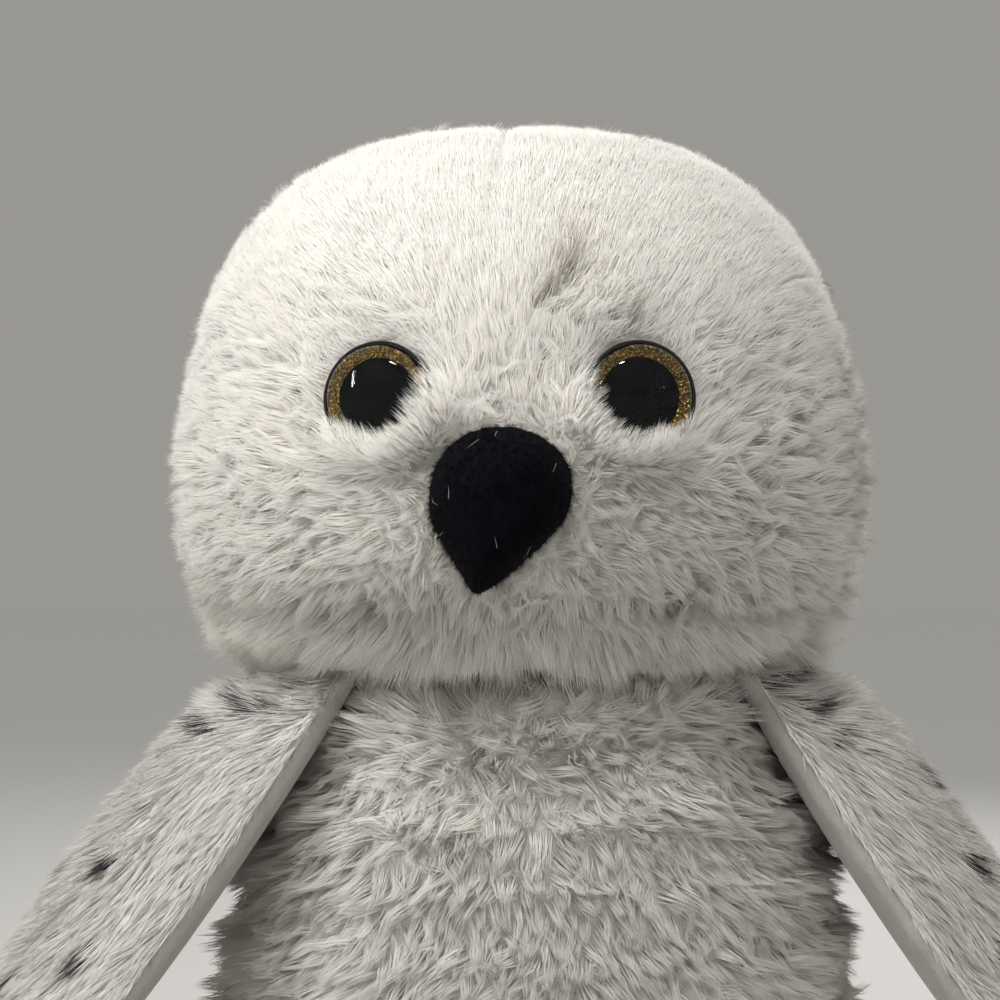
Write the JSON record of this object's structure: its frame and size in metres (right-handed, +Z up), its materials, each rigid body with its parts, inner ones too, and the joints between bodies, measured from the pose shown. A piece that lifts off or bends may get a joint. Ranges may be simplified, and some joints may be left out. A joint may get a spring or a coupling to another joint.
{
  "type": "plush owl",
  "caption": "Sitting stuffed owl of white pile cloth with domed glitter eyes, a black velour beak, lined wings, a tail, feet and a head that turns.",
  "frame": {"origin": "on the floor, under the middle of the body's flat base", "axes": "+Z up, -Y the way the owl faces, +X to the owl's own left"},
  "size_m": [0.2727, 0.2058, 0.3],
  "materials": {
    "white_pile": "long soft white pile",
    "grey_lining": "short smooth pale grey pile",
    "base_cloth": "short white pile",
    "pellet_cloth": "plain woven cloth",
    "stuffing": "loose fibre filling",
    "black_velour": "near-black short velour",
    "black_gloss": "polished black",
    "gold_glitter": "gold glitter lacquer",
    "clear_lens": "clear, polished",
    "white_plastic": "moulded, matte"
  },
  "bodies": {
    "torso": {"body_cover": "white_pile", "base_panel": "base_cloth", "pellet_bag": "pellet_cloth", "body_filling": "stuffing"},
    "head": {"head_cover": "white_pile", "head_filling": "stuffing", "beak_cover": "black_velour", "beak_filling": "stuffing", "left_eye_cup": "black_gloss", "left_eye_iris": "gold_glitter", "left_eye_pupil": "black_gloss", "left_eye_lens": "clear_lens", "left_eye_washer": "white_plastic", "right_eye_cup": "black_gloss", "right_eye_iris": "gold_glitter", "right_eye_pupil": "black_gloss", "right_eye_lens": "clear_lens", "right_eye_washer": "white_plastic"},
    "left_wing": {"left_wing_cover": "white_pile", "left_wing_lining": "grey_lining", "left_wing_filling": "stuffing"},
    "right_wing": {"right_wing_cover": "white_pile", "right_wing_lining": "grey_lining", "right_wing_filling": "stuffing"},
    "tail": {"tail_cover": "white_pile", "tail_lining": "grey_lining", "tail_filling": "stuffing"},
    "left_foot": {"left_foot_upper": "black_velour", "left_foot_sole": "black_velour", "left_foot_filling": "stuffing"},
    "right_foot": {"right_foot_upper": "black_velour", "right_foot_sole": "black_velour", "right_foot_filling": "stuffing"}
  },
  "joints": [
    {"name": "head_turn", "type": "hinge", "parent": "torso", "child": "head", "pos_m": [-0.004, -0.002, 0.172], "axis": [0, 0, 1], "range_deg": [-25, 25], "stiffness_Nm_per_rad": 0.6},
    {"name": "left_wing_lift", "type": "hinge", "parent": "torso", "child": "left_wing", "pos_m": [0.05461, -0.0144, 0.1655], "axis": [-0.2419, -0.9703, 0], "range_deg": [-5, 30], "stiffness_Nm_per_rad": 0.25},
    {"name": "right_wing_lift", "type": "hinge", "parent": "torso", "child": "right_wing", "pos_m": [-0.05286, -0.01998, 0.1655], "axis": [-0.3584, 0.9336, 0], "range_deg": [-5, 30], "stiffness_Nm_per_rad": 0.25},
    {"name": "tail_lift", "type": "hinge", "parent": "torso", "child": "tail", "pos_m": [0, 0.06886, 0.046], "axis": [1, 0, 0], "range_deg": [-8, 30], "stiffness_Nm_per_rad": 0.05},
    {"name": "left_foot_lift", "type": "hinge", "parent": "torso", "child": "left_foot", "pos_m": [0.03262, -0.05176, 0.005], "axis": [-0.9272, -0.3746, 0], "range_deg": [0, 20], "stiffness_Nm_per_rad": 0.03},
    {"name": "right_foot_lift", "type": "hinge", "parent": "torso", "child": "right_foot", "pos_m": [-0.03262, -0.05176, 0.005], "axis": [-0.9272, 0.3746, 0], "range_deg": [0, 20], "stiffness_Nm_per_rad": 0.03}
  ]
}
